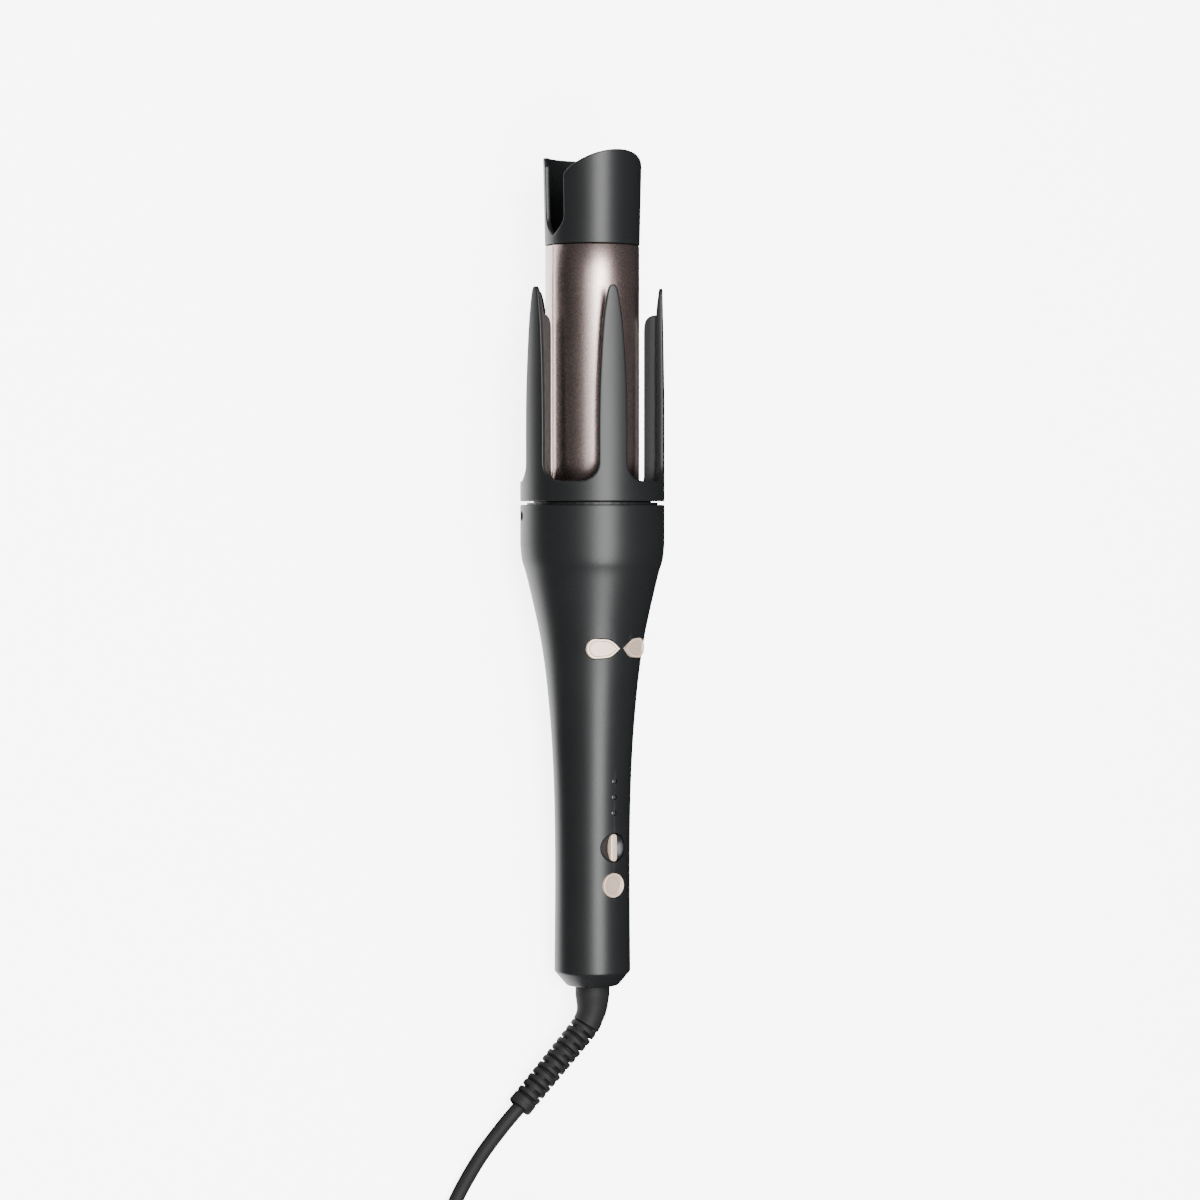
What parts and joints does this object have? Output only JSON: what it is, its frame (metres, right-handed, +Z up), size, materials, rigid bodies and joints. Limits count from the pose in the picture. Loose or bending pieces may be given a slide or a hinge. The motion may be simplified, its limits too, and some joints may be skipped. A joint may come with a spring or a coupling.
{
  "type": "automatic curling iron",
  "caption": "Automatic curling iron: black handle sleeve, fixed rose metal barrel with notched tip cap, rotating pronged crown, press buttons, selector and swivel cord with plug.",
  "frame": {"origin": "centre of the tool's bounding box, without its cord, at the surface that it lies on", "axes": "+X along the tool towards the tip, which is tilted up a few degrees, +Z up, on the side with the buttons, +Y to the left of the buttons"},
  "size_m": [0.4629, 0.1017, 0.0551],
  "materials": {
    "soft_black": "soft-touch matte black",
    "satin_black": "satin black",
    "gloss_black": "gloss black",
    "frame_grey": "moulded grey",
    "rubber": "matte black rubber",
    "rose_metal": "champagne rose ceramic coating with fine sparkle",
    "champagne": "champagne satin plating",
    "steel": "plain steel",
    "aluminium": "cast aluminium",
    "brass": "plain brass",
    "nylon": "natural nylon",
    "cream_resin": "heat-resistant resin",
    "board_green": "circuit board",
    "clear_pipe": "clear light pipe"
  },
  "bodies": {
    "frame": {"housing_sleeve": "soft_black", "tip_cap": "soft_black", "neck_collar": "satin_black", "power_switch": "gloss_black", "selector_switch": "gloss_black", "left_switch": "gloss_black", "right_switch": "gloss_black", "supply_capacitor": "gloss_black", "chassis_front": "frame_grey", "chassis_back": "frame_grey", "swivel_socket": "frame_grey", "barrel_front": "rose_metal", "barrel_back": "rose_metal", "frame_screw_1": "steel", "frame_screw_2": "steel", "frame_screw_3": "steel", "frame_screw_4": "steel", "motor_bracket": "steel", "motor_can": "steel", "spindle": "steel", "tip_screw": "steel", "thermal_fuse": "steel", "heater_block_front": "aluminium", "heater_block_back": "aluminium", "gearbox": "brass", "barrel_base": "cream_resin", "tip_plug": "cream_resin", "heater_element": "cream_resin", "thermistor": "cream_resin", "button_board": "board_green", "left_switch_board": "board_green", "right_switch_board": "board_green", "main_board": "board_green", "transformer": "board_green", "led_pipe_1": "clear_pipe", "led_pipe_2": "clear_pipe", "led_pipe_3": "clear_pipe"},
    "crown_body": {"crown": "soft_black", "crown_gear": "nylon", "crown_bush": "brass"},
    "pinion_body": {"drive_pinion": "brass"},
    "power_button_body": {"power_button": "champagne"},
    "left_button_body": {"left_button": "champagne"},
    "right_button_body": {"right_button": "champagne"},
    "selector_body": {"selector_dish": "gloss_black", "selector_bar": "champagne"},
    "swivel_body": {"swivel_spigot": "frame_grey", "slip_ring_1": "brass", "slip_ring_2": "brass", "strain_relief": "rubber", "cord": "rubber", "cord_coil": "rubber", "cord_tail": "rubber", "cord_tie": "rubber", "plug_body": "rubber", "plug_pin_1": "steel", "plug_pin_2": "steel"}
  },
  "joints": [
    {"name": "crown_spin", "type": "hinge", "parent": "frame", "child": "crown_body", "pos_m": [0.0241, 0, 0.02605], "axis": [0.9968, 0, 0.0796], "continuous": true},
    {"name": "pinion_spin", "type": "hinge", "parent": "frame", "child": "pinion_body", "pos_m": [0.01472, 0, 0.01473], "axis": [0.9968, 0, 0.0796], "continuous": true},
    {"name": "power_button_press", "type": "slide", "parent": "frame", "child": "power_button_body", "axis": [0.0796, 0, -0.9968], "range_m": [0, 0.0006], "stiffness_N_per_m": 900},
    {"name": "left_button_press", "type": "slide", "parent": "frame", "child": "left_button_body", "axis": [0.0735, -0.3843, -0.9203], "range_m": [0, 0.0006], "stiffness_N_per_m": 900},
    {"name": "right_button_press", "type": "slide", "parent": "frame", "child": "right_button_body", "axis": [0.0735, 0.3843, -0.9203], "range_m": [0, 0.0006], "stiffness_N_per_m": 900},
    {"name": "selector_turn", "type": "hinge", "parent": "frame", "child": "selector_body", "pos_m": [-0.09563, 0, 0.02853], "axis": [-0.0796, 0, 0.9968], "range_deg": [-45, 45]},
    {"name": "cord_swivel", "type": "hinge", "parent": "frame", "child": "swivel_body", "pos_m": [-0.14322, 0, 0.01269], "axis": [0.9968, 0, 0.0796], "continuous": true}
  ],
  "couplings": [
    {"joint": "pinion_spin", "follows": "crown_spin", "ratio": -2}
  ]
}
